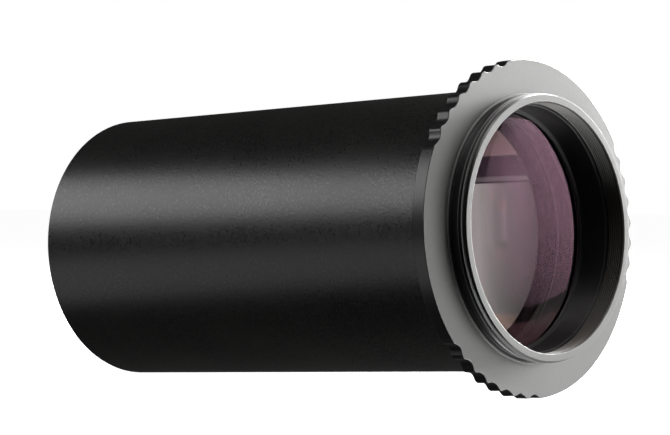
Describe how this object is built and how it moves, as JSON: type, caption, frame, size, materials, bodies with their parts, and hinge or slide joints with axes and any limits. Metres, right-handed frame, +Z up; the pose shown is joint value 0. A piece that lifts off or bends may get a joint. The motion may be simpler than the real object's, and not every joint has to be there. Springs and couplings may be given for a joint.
{
  "type": "telescope corrector",
  "caption": "Slip-fit telescope corrector barrel with lens groups, a knurled flange and a threaded camera stub that unscrews.",
  "frame": {"origin": "on the optical axis in the plane of the flange face that stops against the focuser", "axes": "+X along the optical axis towards the camera, +Z up, +Y to the right seen from the camera end"},
  "size_m": [0.104, 0.0604, 0.0604],
  "materials": {
    "barrel_anodising": "bead-blasted satin black anodising",
    "ring_anodising": "fine-turned satin black anodising",
    "cell_anodising": "matt black anodising",
    "bare_aluminium": "turned",
    "seal_rubber": "matt moulded",
    "coated_glass": "polished with a mauve anti-reflection coating",
    "clear_glass": "polished"
  },
  "bodies": {
    "barrel": {"barrel_tube": "barrel_anodising", "telescope_cell_shim": "bare_aluminium", "telescope_cell": "cell_anodising", "telescope_lens_outer": "coated_glass", "telescope_lens_spacer": "cell_anodising", "telescope_lens_inner": "clear_glass", "telescope_preload_ring": "seal_rubber", "telescope_lens_retainer": "cell_anodising", "cell_lock_ring": "cell_anodising", "glare_liner": "cell_anodising", "glare_stop_1": "cell_anodising", "glare_stop_2": "cell_anodising", "glare_stop_3": "cell_anodising"},
    "seal": {"barrel_seal_ring": "seal_rubber"},
    "camera_end": {"camera_ring": "ring_anodising", "camera_lens_outer": "coated_glass", "camera_lens_spacer": "cell_anodising", "camera_lens_inner": "clear_glass", "camera_preload_ring": "seal_rubber", "camera_lens_retainer": "cell_anodising"}
  },
  "joints": [
    {"name": "camera_ring_advance", "type": "slide", "parent": "barrel", "child": "seal", "axis": [1, 0, 0], "range_m": [0, 0.00582]},
    {"name": "camera_ring_turn", "type": "hinge", "parent": "seal", "child": "camera_end", "pos_m": [0, 0, 0], "axis": [1, 0, 0], "range_deg": [0, 2790]}
  ],
  "couplings": [
    {"joint": "camera_ring_advance", "follows": "camera_ring_turn", "m_per_rad": 0.00011937}
  ]
}
